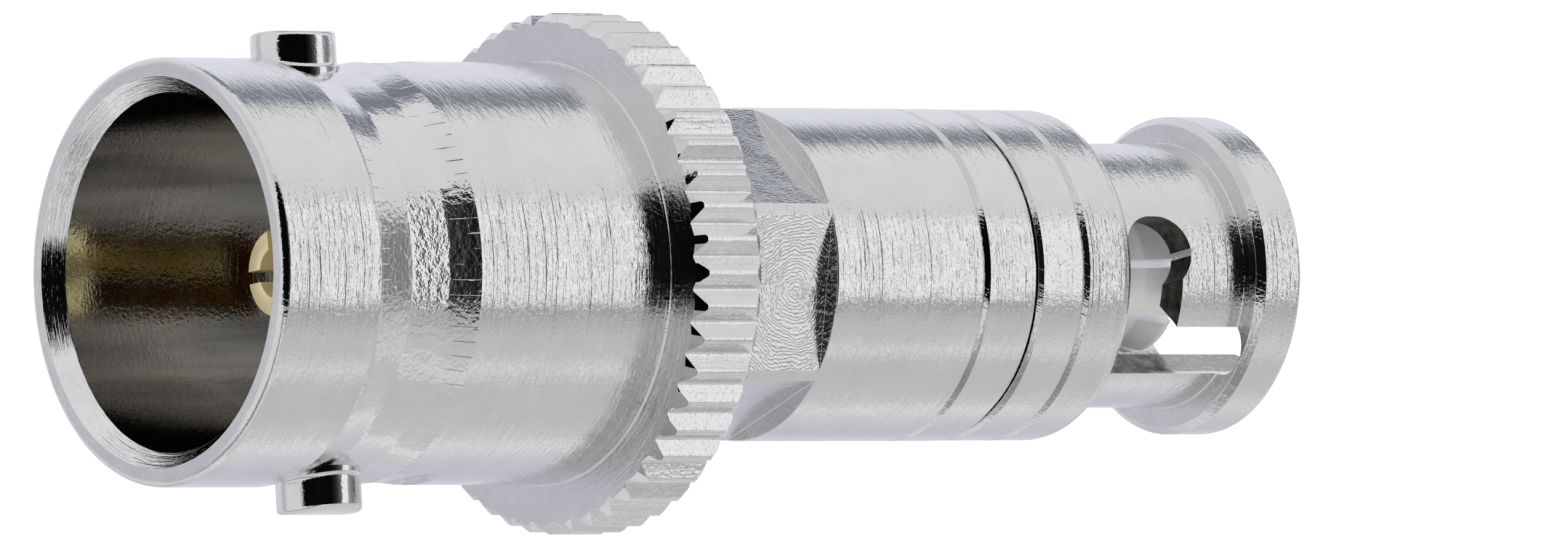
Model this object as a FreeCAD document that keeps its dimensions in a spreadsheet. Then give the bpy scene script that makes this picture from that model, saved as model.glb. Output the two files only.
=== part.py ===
import FreeCAD, Part
import Sketcher
import math
import os
from FreeCAD import Placement, Rotation, Vector

# Coaxial adapter: bayonet jack at the top, miniature bayonet plug with a sprung
# coupling nut at the bottom. Millimetres. It stands on the plug's mouth (Z = 0) with
# its axis on +Z, and the two lugs of the jack lie along X. Stations are measured
# along the axis from the jack's face, as on a drawing, so Z = total_len - station.

DOC = FreeCAD.newDocument("coaxial_adapter")
SHEET = DOC.addObject("Spreadsheet::Sheet", "Dims")

TABLE = [
    # whole
    ("total_len", 30.2, "jack face to plug face"),
    # jack shell
    ("shell_rad", 4.85, "outside, ahead of the milled band"),
    ("shell_rear_rad", 4.81, "outside, behind the milled band"),
    ("rim_chamfer", 0.13, "outer edge of the face"),
    ("mouth_rad", 4.43, "inner edge of the face ring"),
    ("mouth_cone_len", 0.42, "lead-in cone"),
    ("bore_rad", 4.065, "bore"),
    ("bore_end_at", 8.4, "floor of the bore"),
    ("band_from", 2.73, "milled band, front edge"),
    ("band_to", 5.61, "milled band, rear edge"),
    ("band_rear_rad", 4.785, "milled band, radius at its rear edge"),
    ("band_rear_low", 4.62, "milled band, end of the rear slope"),
    ("band_rear_low_at", 4.82, "milled band, end of the rear slope"),
    ("band_front_low", 4.57, "milled band, start of the front slope"),
    ("band_front_low_at", 3.8, "milled band, start of the front slope"),
    ("band_front_rad", 4.775, "milled band, radius at its front edge"),
    ("lug_at", 4.2, "lug centre"),
    ("lug_rad", 0.975, "lug radius"),
    ("lug_reach", 5.48, "axis to lug top"),
    ("bead_seat_rad", 2.4, "seat of the jack's bead"),
    ("bead_seat_at", 11.0, "end of that seat"),
    ("inner_bore_rad", 1.9, "bore down the barrel"),
    ("long_bead_at", 12.6, "rear end of the long bead"),
    # flange and barrel
    ("flange_at", 10.92, "front face of the flange"),
    ("flange_end_at", 12.79, "rear face of the flange"),
    ("flange_rad", 5.95, "over the knurl"),
    ("flange_bevel", 0.19, "bevel of the knurl"),
    ("flange_bevel_drop", 0.27, "bevel, radial"),
    ("knurl_count", 48, "teeth"),
    ("knurl_depth", 0.29, "tooth depth"),
    ("knurl_half", 0.34, "half width of a valley at the tips"),
    ("knurl_turn", -1.75, "angle of the first valley"),
    ("barrel_rad", 3.83, "barrel"),
    ("hex_af", 6.78, "across the spanner flats"),
    ("hex_end_at", 16.49, "end of the flats"),
    ("hex_turn", 17.1, "angle of a flat's normal"),
    ("barrel_end_at", 20.72, "front end of the barrel"),
    ("spigot_seat_rad", 2.9, "bore for the plug body's spigot"),
    ("spigot_seat_at", 18.2, "end of that bore"),
    # plug body
    ("slit_from", 20.93, "rear face of the plug body's flange"),
    ("slit_floor_rad", 3.68, "floor of the grooves"),
    ("body_face_at", 22.17, "front face of the plug body's flange"),
    ("rebate_at", 22.34, "front of the rebate that floors the second groove"),
    ("neck_rad", 2.55, "neck the nut turns on"),
    ("clip_from", 24.0, "clip groove, rear wall"),
    ("clip_to", 24.4, "clip groove, front wall"),
    ("clip_root_rad", 2.02, "clip groove, root"),
    ("land_rad", 2.25, "land ahead of the clip"),
    ("land_end_at", 24.75, "front end of the neck"),
    ("sleeve_seat_end", 19.4, "end of the sleeve's seat"),
    ("body_bore_rad", 1.2, "bore behind the sleeve"),
    # slotted sleeve
    ("sleeve_rad", 1.6, "slotted sleeve"),
    ("sleeve_in_rad", 1.28, "inside of the sleeve"),
    ("sleeve_tip_rad", 1.78, "flared tip"),
    ("sleeve_tip_at", 28.2, "front of the sleeve"),
    ("flare_from", 27.25, "start of the flare"),
    ("flare_to", 27.95, "end of the flare"),
    ("sleeve_slit", 0.2, "slit width"),
    ("sleeve_slit_len", 2.7, "slit length"),
    ("sleeve_slits", 8, "slits"),
    # nut
    ("nut_rad", 3.82, "wide part of the nut"),
    ("bush_rear_at", 22.40, "rear face of the bush"),
    ("bush_front_at", 23.64, "front face of the bush"),
    ("bush_wall", 0.40, "rear wall of the bush"),
    ("bush_bore_rad", 2.60, "bush bore"),
    ("nut_rear_at", 23.85, "rear face of the nut"),
    ("nut_tail_rad", 3.35, "tail pressed into the bush"),
    ("chamber_rad", 2.95, "spring chamber"),
    ("chamber_end_at", 24.45, "front wall of the chamber"),
    ("nut_wide_end", 25.22, "end of the wide part"),
    ("nut_fillet", 0.50, "rounding of the wide part"),
    ("nut_bore_rad", 2.3, "bore of the mouth"),
    ("nut_neck_rad", 3.065, "neck with the slots"),
    ("ring_face_at", 28.975, "rear face of the nut's front rim"),
    ("ring_rad", 3.69, "front rim"),
    ("ring_bevel", 0.17, "rear edge of the rim"),
    ("ring_chamfer", 0.10, "front edge of the rim"),
    ("slot_width", 1.37, "bayonet slot"),
    ("slot_mid", 2.8, "centre of the entry slot's round bottom"),
    ("slot_turn", -130.8, "angle of the entry slot"),
    ("slot_sweep", 45.5, "entry slot to seat"),
    ("slot_front_at", 27.18, "front wall of the cross slot"),
    ("slot_rear_at", 25.58, "rear wall of the cross slot"),
    ("seat_at", 26.6, "centre of the lug seat"),
    ("seat_rear_at", 26.42, "rear centre of the lug seat, which is a little longer than wide"),
    ("seat_rad", 0.85, "radius of the lug seat"),
    # small pieces in the nut
    ("clip_in_rad", 2.06, "snap ring inside"),
    ("clip_out_rad", 2.85, "snap ring outside"),
    ("clip_gap", 0.9, "opening of the snap ring"),
    ("washer_in_rad", 2.62, "thrust washer inside"),
    ("washer_out_rad", 2.88, "thrust washer outside"),
    ("washer_thick", 0.20, "thrust washer"),
    ("fine_gap", 0.01, "faces that slide or turn"),
    ("spring_strip", 0.18, "wave spring thickness"),
    ("spring_waves", 3, "wave spring waves"),
    # centre line
    ("socket_rad", 1.0, "socket contact"),
    ("socket_tip_at", 3.3, "socket tip"),
    ("socket_hole_rad", 0.6, "hole of the socket"),
    ("socket_hole_len", 4.6, "depth of that hole"),
    ("socket_slit", 0.28, "slit width"),
    ("socket_slit_len", 3.9, "slit length"),
    ("socket_tip_chamfer", 0.13, "tip edge"),
    ("rod_rad", 0.7, "rod behind the socket"),
    ("rod_end_at", 17.6, "end of the rod"),
    ("tail_rad", 0.35, "tail of the pin"),
    ("tail_end_at", 15.9, "end of the tail"),
    ("pin_rad", 0.45, "pin contact"),
    ("pin_tip_at", 29.0, "pin tip"),
    ("pin_chamfer", 0.2, "pin tip edge"),
    ("plug_bead_at", 28.55, "front of the plug's bead"),
]

for row, (name, number, remark) in enumerate(TABLE, start=1):
    SHEET.set("A%d" % row, remark)
    SHEET.set("B%d" % row, repr(number))
    SHEET.setAlias("B%d" % row, name)
DOC.recompute()
NUMBERS = dict((name, float(number)) for name, number, remark in TABLE)


class Size(object):
    """A dimension: its number, and the formula on the sheet that it comes from."""

    def __init__(self, value, text):
        self.value = float(value)
        self.text = text

    def _join(self, other, sign, turned=False):
        other = size_of(other)
        a, b = (other, self) if turned else (self, other)
        value = {"+": a.value + b.value, "-": a.value - b.value,
                 "*": a.value * b.value}[sign]
        return Size(value, "(%s %s %s)" % (a.text, sign, b.text))

    def __add__(self, other):
        return self._join(other, "+")

    def __radd__(self, other):
        return self._join(other, "+", True)

    def __sub__(self, other):
        return self._join(other, "-")

    def __rsub__(self, other):
        return self._join(other, "-", True)

    def __mul__(self, other):
        return self._join(other, "*")

    def __rmul__(self, other):
        return self._join(other, "*", True)

    def __neg__(self):
        return Size(-self.value, "(0 - %s)" % self.text)


def size_of(thing):
    if isinstance(thing, Size):
        return thing
    if isinstance(thing, str):
        return Size(NUMBERS[thing], "Dims." + thing)
    return Size(thing, "%.9g" % thing if thing >= 0 else "(0 - %.9g)" % -thing)


def q(name):
    return size_of(name)


def height(name):
    """Z of a station."""
    return q("total_len") - q(name)


TOP = q("total_len")


def new_body(name):
    body = DOC.addObject("PartDesign::Body", name)
    body.Label = name
    return body


def plane_of(body, role):
    return [o for o in body.Origin.OriginFeatures if o.Role == role][0]


def new_sketch(body, name, role="XZ_Plane", turn=None, lift=None):
    """A sketch on an origin plane; turn swings it about Z, lift raises it along its normal."""
    sketch = body.newObject("Sketcher::SketchObject", name)
    sketch.AttachmentSupport = [(plane_of(body, role), "")]
    sketch.MapMode = "FlatFace"
    if turn is not None:
        turn = size_of(turn)
        sketch.AttachmentOffset = Placement(Vector(0, 0, 0), Rotation(Vector(0, 1, 0), turn.value))
        sketch.setExpression("AttachmentOffset.Rotation.Angle", turn.text)
    if lift is not None:
        lift = size_of(lift)
        sketch.AttachmentOffset = Placement(Vector(0, 0, lift.value), Rotation())
        sketch.setExpression("AttachmentOffset.Base.z", lift.text)
    DOC.recompute()
    return sketch


def hold(sketch, geo, pos, x, y):
    """Ties a point of the sketch to the sheet."""
    for kind, coordinate, axis in (("DistanceX", x, -2), ("DistanceY", y, -1)):
        coordinate = size_of(coordinate)
        if abs(coordinate.value) < 1e-9:
            sketch.addConstraint(Sketcher.Constraint("PointOnObject", geo, pos, axis))
        elif coordinate.value > 0:
            n = sketch.addConstraint(
                Sketcher.Constraint(kind, -1, 1, geo, pos, coordinate.value))
            sketch.setExpression("Constraints[%d]" % n, coordinate.text)
        else:
            n = sketch.addConstraint(
                Sketcher.Constraint(kind, geo, pos, -1, 1, -coordinate.value))
            sketch.setExpression("Constraints[%d]" % n, "(0 - %s)" % coordinate.text)


def outline(sketch, points):
    """A closed outline of straight lines."""
    points = [(size_of(x), size_of(y)) for x, y in points]
    count = len(points)
    first = sketch.GeometryCount
    for i in range(count):
        a, b = points[i], points[(i + 1) % count]
        sketch.addGeometry(Part.LineSegment(Vector(a[0].value, a[1].value, 0),
                                            Vector(b[0].value, b[1].value, 0)), False)
    for i in range(count):
        sketch.addConstraint(Sketcher.Constraint(
            "Coincident", first + i, 2, first + (i + 1) % count, 1))
    for i in range(count):
        hold(sketch, first + i, 1, *points[i])


def ring_line(sketch, x, y, radius):
    x, y, radius = size_of(x), size_of(y), size_of(radius)
    n = sketch.addGeometry(Part.Circle(Vector(x.value, y.value, 0), Vector(0, 0, 1),
                                       radius.value), False)
    if abs(x.value) < 1e-9 and abs(y.value) < 1e-9:
        sketch.addConstraint(Sketcher.Constraint("Coincident", n, 3, -1, 1))
    else:
        hold(sketch, n, 3, x, y)
    c = sketch.addConstraint(Sketcher.Constraint("Radius", n, radius.value))
    sketch.setExpression("Constraints[%d]" % c, radius.text)


def volume_of(body):
    DOC.recompute()
    return body.Shape.Volume


def turned(body, points, name="turned"):
    sketch = new_sketch(body, name + "_outline")
    outline(sketch, points)
    DOC.recompute()
    feature = body.newObject("PartDesign::Revolution", name)
    feature.Profile = sketch
    feature.ReferenceAxis = (sketch, ["V_Axis"])
    feature.Angle = 360
    DOC.recompute()
    return feature


def turned_cut(body, points, name, turn=None, angle=None):
    before = volume_of(body)
    sketch = new_sketch(body, name + "_outline", turn=turn)
    outline(sketch, points)
    DOC.recompute()
    feature = body.newObject("PartDesign::Groove", name)
    feature.Profile = sketch
    feature.ReferenceAxis = (sketch, ["V_Axis"])
    if angle is None:
        feature.Angle = 360
    else:
        angle = size_of(angle)
        feature.Angle = angle.value
        feature.setExpression("Angle", angle.text)
    must_shrink(body, before, name)
    return feature


def must_shrink(body, before, name):
    after = volume_of(body)
    if not after < before - 1e-6:
        raise RuntimeError("%s: %s cuts nothing (%.4f, %.4f)" % (body.Label, name, before, after))


def milled_cut(body, sketch, name, depth, reverse=False):
    before = volume_of(body)
    feature = body.newObject("PartDesign::Pocket", name)
    feature.Profile = sketch
    depth = size_of(depth)
    feature.Type = "Length"
    feature.Length = depth.value
    feature.setExpression("Length", depth.text)
    feature.Reversed = reverse
    must_shrink(body, before, name)
    return feature


def around(body, features, name, count):
    """Repeats features evenly about Z."""
    before = volume_of(body)
    feature = body.newObject("PartDesign::PolarPattern", name)
    feature.Originals = list(features)
    feature.Axis = ([o for o in body.Origin.OriginFeatures if o.Role == "Z_Axis"][0], [""])
    feature.Angle = 360
    count = size_of(count)
    feature.Occurrences = int(count.value)
    feature.setExpression("Occurrences", count.text)
    body.Tip = feature
    must_shrink(body, before, name)
    return feature


def round_edge(body, name, radius_of_edge, z, radius):
    """Rounds the circular edge of that radius at that height."""
    DOC.recompute()
    base = body.Tip
    picked = []
    for i, edge in enumerate(base.Shape.Edges, start=1):
        curve = edge.Curve
        if isinstance(curve, Part.Circle) and abs(curve.Radius - radius_of_edge) < 1e-4 \
                and abs(curve.Center.z - z) < 1e-4:
            picked.append("Edge%d" % i)
    if not picked:
        raise RuntimeError("%s: no edge for %s" % (body.Label, name))
    radius = size_of(radius)
    feature = body.newObject("PartDesign::Fillet", name)
    feature.Base = (base, picked)
    feature.Radius = radius.value
    feature.setExpression("Radius", radius.text)
    DOC.recompute()
    return feature


# ---------------------------------------------------------------- jack body
# One turned piece from the jack's face to the first groove: the shell with both lugs,
# the knurled flange and the barrel with its spanner flats. The lugs are what is left
# of a collar after milling, so the band round the shell at their height is a shallow
# hollow, and their tops are part of a cylinder about the main axis.
jack_body = new_body("jack_body")
turned(jack_body, [
    (0, height("barrel_end_at")),
    ("barrel_rad", height("barrel_end_at")),
    ("barrel_rad", height("flange_end_at")),
    (q("flange_rad") - q("flange_bevel_drop"), height("flange_end_at")),
    ("flange_rad", height("flange_end_at") + q("flange_bevel")),
    ("flange_rad", height("flange_at") - q("flange_bevel")),
    (q("flange_rad") - q("flange_bevel_drop"), height("flange_at")),
    ("shell_rear_rad", height("flange_at")),
    ("shell_rear_rad", height("band_to")),
    ("band_rear_rad", height("band_to")),
    ("band_rear_low", height("band_rear_low_at")),
    ("band_front_low", height("band_front_low_at")),
    ("band_front_rad", height("band_from")),
    ("shell_rad", height("band_from")),
    ("shell_rad", TOP - q("rim_chamfer")),
    (q("shell_rad") - q("rim_chamfer"), TOP),
    (0, TOP),
])
lug_circle = new_sketch(jack_body, "lug_circle", role="YZ_Plane")
ring_line(lug_circle, 0, height("lug_at"), "lug_rad")
DOC.recompute()
before = volume_of(jack_body)
lugs = jack_body.newObject("PartDesign::Pad", "lugs")
lugs.Profile = lug_circle
lugs.SideType = "Symmetric"
lugs.Length = 12.0
lugs.setExpression("Length", (q("lug_reach") * 2 + 1).text)
if volume_of(jack_body) < before + 0.5:
    raise RuntimeError("the lugs add nothing")
turned_cut(jack_body, [
    ("lug_reach", height("lug_at") - 1.4),
    (q("lug_reach") + 2, height("lug_at") - 1.4),
    (q("lug_reach") + 2, height("lug_at") + 1.4),
    ("lug_reach", height("lug_at") + 1.4),
], "lug_tops")
flats = new_sketch(jack_body, "flats", role="XY_Plane", lift=height("hex_end_at"))
ring_line(flats, 0, 0, q("barrel_rad") + 1.5)
corners = []
for i in range(6):
    a = math.radians(NUMBERS["hex_turn"] + 30 + 60 * i)
    corners.append((q("hex_af") * (0.5 / math.cos(math.pi / 6) * math.cos(a)),
                    q("hex_af") * (0.5 / math.cos(math.pi / 6) * math.sin(a))))
outline(flats, corners)
DOC.recompute()
milled_cut(jack_body, flats, "spanner_flats", q("hex_end_at") - q("flange_end_at"), reverse=True)
turned_cut(jack_body, [
    (0, height("barrel_end_at") - 0.5),
    ("spigot_seat_rad", height("barrel_end_at") - 0.5),
    ("spigot_seat_rad", height("spigot_seat_at")),
    ("inner_bore_rad", height("spigot_seat_at")),
    ("inner_bore_rad", height("bead_seat_at")),
    ("bead_seat_rad", height("bead_seat_at")),
    ("bead_seat_rad", height("bore_end_at")),
    ("bore_rad", height("bore_end_at")),
    ("bore_rad", TOP - q("mouth_cone_len")),
    ("mouth_rad", TOP),
    ("mouth_rad", TOP + 0.5),
    (0, TOP + 0.5),
], "bores")
valley = new_sketch(jack_body, "valley", role="XY_Plane", lift=height("flange_end_at"))
vc, vs = math.cos(math.radians(NUMBERS["knurl_turn"])), math.sin(math.radians(NUMBERS["knurl_turn"]))
outline(valley, [(x * vc - y * vs, x * vs + y * vc) for x, y in (
    (q("flange_rad") - q("knurl_depth"), size_of(0)),
    (q("flange_rad") + 0.1, q("knurl_half") + 0.117),
    (q("flange_rad") + 0.1, -(q("knurl_half") + 0.117)),
)])
DOC.recompute()
valley_cut = milled_cut(jack_body, valley, "valley_cut",
                        q("flange_end_at") - q("flange_at"), reverse=True)
around(jack_body, [valley_cut], "knurl", "knurl_count")

# ---------------------------------------------------------------- plug body
# Flange beyond the first groove, spigot inside the barrel, and the neck on which
# the coupling nut turns and slides.
plug_body = new_body("plug_body")
turned(plug_body, [
    ("body_bore_rad", height("spigot_seat_at")),
    ("spigot_seat_rad", height("spigot_seat_at")),
    ("spigot_seat_rad", height("barrel_end_at")),
    ("slit_floor_rad", height("barrel_end_at")),
    ("slit_floor_rad", height("slit_from")),
    ("barrel_rad", height("slit_from")),
    ("barrel_rad", height("body_face_at")),
    ("slit_floor_rad", height("body_face_at")),
    ("slit_floor_rad", height("rebate_at")),
    ("neck_rad", height("rebate_at")),
    ("neck_rad", height("clip_from")),
    ("clip_root_rad", height("clip_from")),
    ("clip_root_rad", height("clip_to")),
    ("land_rad", height("clip_to")),
    ("land_rad", height("land_end_at")),
    ("sleeve_rad", height("land_end_at")),
    ("sleeve_rad", height("sleeve_seat_end")),
    ("body_bore_rad", height("sleeve_seat_end")),
])

# ---------------------------------------------------------------- slotted sleeve
plug_outer_contact = new_body("plug_outer_contact")
turned(plug_outer_contact, [
    ("sleeve_in_rad", height("sleeve_seat_end")),
    ("sleeve_rad", height("sleeve_seat_end")),
    ("sleeve_rad", height("flare_from")),
    ("sleeve_tip_rad", height("flare_to")),
    ("sleeve_tip_rad", height("sleeve_tip_at") + 0.1),
    (q("sleeve_tip_rad") - 0.1, height("sleeve_tip_at")),
    ("sleeve_in_rad", height("sleeve_tip_at")),
])
# the slits' angle puts one of them 3.95 degrees from +X
slit = new_sketch(plug_outer_contact, "slit", turn=90 + 3.95)
outline(slit, [
    (q("sleeve_slit") * -0.5, height("sleeve_tip_at") - 0.2),
    (q("sleeve_slit") * 0.5, height("sleeve_tip_at") - 0.2),
    (q("sleeve_slit") * 0.5, height("sleeve_tip_at") + q("sleeve_slit_len")),
    (q("sleeve_slit") * -0.5, height("sleeve_tip_at") + q("sleeve_slit_len")),
])
DOC.recompute()
slit_cut = milled_cut(plug_outer_contact, slit, "slit_cut", q("sleeve_tip_rad") + 0.5,
                      reverse=True)
around(plug_outer_contact, [slit_cut], "slits", "sleeve_slits")

# ---------------------------------------------------------------- insulating beads
bnc_insulator = new_body("bnc_insulator")
turned(bnc_insulator, [
    ("rod_rad", height("bead_seat_at")),
    ("bead_seat_rad", height("bead_seat_at")),
    ("bead_seat_rad", height("bore_end_at")),
    ("rod_rad", height("bore_end_at")),
])
barrel_insulator = new_body("barrel_insulator")
turned(barrel_insulator, [
    ("rod_rad", height("rod_end_at")),
    ("pin_rad", height("rod_end_at")),
    ("pin_rad", height("spigot_seat_at")),
    ("inner_bore_rad", height("spigot_seat_at")),
    ("inner_bore_rad", height("long_bead_at")),
    ("rod_rad", height("long_bead_at")),
])
plug_insulator = new_body("plug_insulator")
turned(plug_insulator, [
    ("pin_rad", height("plug_bead_at")),
    ("sleeve_in_rad", height("plug_bead_at")),
    ("sleeve_in_rad", height("sleeve_seat_end")),
    ("pin_rad", height("sleeve_seat_end")),
])

# ---------------------------------------------------------------- centre conductor
# The socket stands free in the jack's bore, split into four fingers; its rod runs
# down the axis and holds the tail of the plug's pin.
bnc_contact = new_body("bnc_contact")
turned(bnc_contact, [
    (0, height("rod_end_at")),
    ("rod_rad", height("rod_end_at")),
    ("rod_rad", height("bore_end_at")),
    ("socket_rad", height("bore_end_at")),
    ("socket_rad", height("socket_tip_at") - q("socket_tip_chamfer")),
    (q("socket_rad") - q("socket_tip_chamfer"), height("socket_tip_at")),
    (0, height("socket_tip_at")),
])
turned_cut(bnc_contact, [
    (0, height("socket_tip_at") - q("socket_hole_len")),
    ("socket_hole_rad", height("socket_tip_at") - q("socket_hole_len")),
    ("socket_hole_rad", height("socket_tip_at") + 0.3),
    (0, height("socket_tip_at") + 0.3),
], "socket_hole")
turned_cut(bnc_contact, [
    (0, height("rod_end_at") - 0.3),
    ("tail_rad", height("rod_end_at") - 0.3),
    ("tail_rad", height("tail_end_at")),
    (0, height("tail_end_at")),
], "tail_hole")
finger = new_sketch(bnc_contact, "finger_slit", turn=90 + 2.0)
outline(finger, [
    (q("socket_slit") * -0.5, height("socket_tip_at") - q("socket_slit_len")),
    (q("socket_slit") * 0.5, height("socket_tip_at") - q("socket_slit_len")),
    (q("socket_slit") * 0.5, height("socket_tip_at") + 0.3),
    (q("socket_slit") * -0.5, height("socket_tip_at") + 0.3),
])
DOC.recompute()
finger_cut = milled_cut(bnc_contact, finger, "finger_cut", q("socket_rad") + 0.5, reverse=True)
around(bnc_contact, [finger_cut], "finger_slits", 4)

plug_pin = new_body("plug_pin")
turned(plug_pin, [
    (0, height("pin_tip_at")),
    (q("pin_rad") - q("pin_chamfer"), height("pin_tip_at")),
    ("pin_rad", height("pin_tip_at") + q("pin_chamfer") * 1.6),
    ("pin_rad", height("rod_end_at")),
    ("tail_rad", height("rod_end_at")),
    ("tail_rad", height("tail_end_at")),
    (0, height("tail_end_at")),
])

# ---------------------------------------------------------------- coupling nut
# Thick-walled mouth with two bayonet slots milled from the front, half a turn apart:
# an entry slot along the axis, a cross slot, and a round seat that the mating lug
# springs back into. The entry slots are milled along the axis with a round-bottomed
# cut that breaks through the neck but stays inside the front rim.
coupling_nut = new_body("coupling_nut")
turned(coupling_nut, [
    (q("nut_bore_rad") + 0.12, 0),
    (q("ring_rad") - q("ring_chamfer"), 0),
    ("ring_rad", "ring_chamfer"),
    ("ring_rad", height("ring_face_at") - q("ring_bevel")),
    (q("ring_rad") - q("ring_bevel"), height("ring_face_at")),
    ("nut_neck_rad", height("ring_face_at")),
    ("nut_neck_rad", height("nut_wide_end")),
    ("nut_rad", height("nut_wide_end")),
    ("nut_rad", height("nut_rear_at")),
    ("slit_floor_rad", height("nut_rear_at")),
    ("slit_floor_rad", height("bush_front_at")),
    ("nut_tail_rad", height("bush_front_at")),
    ("nut_tail_rad", height("bush_rear_at") - q("bush_wall")),
    ("chamber_rad", height("bush_rear_at") - q("bush_wall")),
    ("chamber_rad", height("chamber_end_at")),
    ("nut_bore_rad", height("chamber_end_at")),
    ("nut_bore_rad", 0.15),
])
round_edge(coupling_nut, "wide_end_rounding", NUMBERS["nut_rad"],
           height("nut_wide_end").value, "nut_fillet")
turn = math.radians(NUMBERS["slot_turn"])
c, s = math.cos(turn), math.sin(turn)
entry = new_sketch(coupling_nut, "entry_slot", role="XY_Plane", lift=height("slot_rear_at"))
outline(entry, [(q(out) * c - q("slot_width") * (0.5 * side * s),
                 q(out) * s + q("slot_width") * (0.5 * side * c))
                for out, side in (("sleeve_in_rad", -1), ("slot_mid", -1),
                                  ("slot_mid", 1), ("sleeve_in_rad", 1))])
DOC.recompute()
entry_cut = milled_cut(coupling_nut, entry, "entry_cut", height("slot_rear_at") + 0.3)
entry_round = new_sketch(coupling_nut, "entry_bottom", role="XY_Plane",
                         lift=height("slot_rear_at"))
ring_line(entry_round, q("slot_mid") * c, q("slot_mid") * s, q("slot_width") * 0.5)
DOC.recompute()
entry_round_cut = milled_cut(coupling_nut, entry_round, "entry_bottom_cut",
                             height("slot_rear_at") + 0.3)
cross_cut = turned_cut(coupling_nut, [
    ("land_rad", height("slot_front_at")),
    (q("ring_rad") + 0.1, height("slot_front_at")),
    (q("ring_rad") + 0.1, height("slot_rear_at")),
    ("land_rad", height("slot_rear_at")),
], "cross_cut", turn="slot_turn", angle="slot_sweep")
seat = new_sketch(coupling_nut, "lug_seat", turn=q("slot_turn") + q("slot_sweep") + 90)
ring_line(seat, 0, height("seat_at"), "seat_rad")
DOC.recompute()
seat_cut = milled_cut(coupling_nut, seat, "seat_cut", 5.0, reverse=True)
seat_rear = new_sketch(coupling_nut, "lug_seat_rear", turn=q("slot_turn") + q("slot_sweep") + 90)
ring_line(seat_rear, 0, height("seat_rear_at"), "seat_rad")
DOC.recompute()
seat_rear_cut = milled_cut(coupling_nut, seat_rear, "seat_rear_cut", 5.0, reverse=True)
around(coupling_nut, [entry_cut, entry_round_cut, cross_cut, seat_cut, seat_rear_cut], "both_slots", 2)

# ---------------------------------------------------------------- bush and clip
nut_rear_bush = new_body("nut_rear_bush")
turned(nut_rear_bush, [
    ("bush_bore_rad", height("bush_rear_at")),
    (q("nut_rad") - 0.05, height("bush_rear_at")),
    ("nut_rad", height("bush_rear_at") - 0.05),
    ("nut_rad", height("bush_front_at")),
    ("nut_tail_rad", height("bush_front_at")),
    ("nut_tail_rad", height("bush_rear_at") - q("bush_wall")),
    ("bush_bore_rad", height("bush_rear_at") - q("bush_wall")),
])
snap_ring = new_body("snap_ring")
turned(snap_ring, [
    ("clip_in_rad", height("clip_to") + q("fine_gap")),
    ("clip_out_rad", height("clip_to") + q("fine_gap")),
    ("clip_out_rad", height("clip_from") - q("fine_gap")),
    ("clip_in_rad", height("clip_from") - q("fine_gap")),
])
opening = new_sketch(snap_ring, "opening", role="XY_Plane", lift=height("clip_to") - 0.1)
outline(opening, [
    (0.5, q("clip_gap") * -0.5),
    (4.0, q("clip_gap") * -0.5),
    (4.0, q("clip_gap") * 0.5),
    (0.5, q("clip_gap") * 0.5),
])
DOC.recompute()
milled_cut(snap_ring, opening, "opening_cut", 0.7, reverse=True)

thrust_washer = new_body("thrust_washer")
turned(thrust_washer, [
    ("washer_in_rad", height("bush_rear_at") - q("bush_wall") - q("fine_gap") - q("washer_thick")),
    ("washer_out_rad", height("bush_rear_at") - q("bush_wall") - q("fine_gap") - q("washer_thick")),
    ("washer_out_rad", height("bush_rear_at") - q("bush_wall") - q("fine_gap")),
    ("washer_in_rad", height("bush_rear_at") - q("bush_wall") - q("fine_gap")),
])

# ---------------------------------------------------------------- wave spring
# A flat ring pressed into waves between the snap ring and the thrust washer.
low = height("clip_from").value
high = (height("bush_rear_at") - q("bush_wall") - q("fine_gap") - q("washer_thick")
        - q("fine_gap")).value
low += 0.015
high -= 0.015
lift = 0.5 * (high - low - NUMBERS["spring_strip"])
edges = []
for radius in (NUMBERS["washer_in_rad"], NUMBERS["washer_out_rad"] - 0.02):
    points = []
    for i in range(48):
        a = 2 * math.pi * i / 48
        points.append(Vector(radius * math.cos(a), radius * math.sin(a),
                             low + lift * (1 + math.cos(NUMBERS["spring_waves"] * a))))
    curve = Part.BSplineCurve()
    curve.interpolate(points, PeriodicFlag=True)
    edges.append(curve.toShape())
strip = Part.makeRuledSurface(edges[0], edges[1])
wave = strip.extrude(Vector(0, 0, NUMBERS["spring_strip"]))
wave_spring = DOC.addObject("Part::Feature", "wave_spring")
wave_spring.Label = "wave_spring"
wave_spring.Shape = wave.Solids[0] if wave.Solids else wave
wave_spring.Placement = Placement(Vector(0, 0, 0), Rotation())

# ---------------------------------------------------------------- check and write
DOC.recompute()
PIECES = [jack_body, plug_body, plug_outer_contact, bnc_insulator, barrel_insulator,
          plug_insulator, bnc_contact, plug_pin, coupling_nut, nut_rear_bush, snap_ring,
          thrust_washer, wave_spring]
for thing in DOC.Objects:
    bad = [state for state in thing.State if state in ("Invalid", "Error")]
    if bad:
        raise RuntimeError("%s is %s" % (thing.Name, bad))
for piece in PIECES:
    shape = piece.Shape
    if shape.isNull() or not shape.isValid():
        raise RuntimeError("%s has no valid shape" % piece.Label)
    if len(shape.Solids) != 1:
        raise RuntimeError("%s has %d solids" % (piece.Label, len(shape.Solids)))

os.makedirs("parts", exist_ok=True)
for piece in PIECES:
    piece.Shape.exportStep("parts/%s.step" % piece.Label)
    box = piece.Shape.BoundBox
    print("%-20s %9.3f mm3  z %6.2f..%6.2f  r %5.2f" % (
        piece.Label, piece.Shape.Volume, box.ZMin, box.ZMax, max(box.XMax, box.YMax)))
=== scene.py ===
import bpy
import math
from mathutils import Vector, Matrix


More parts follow.
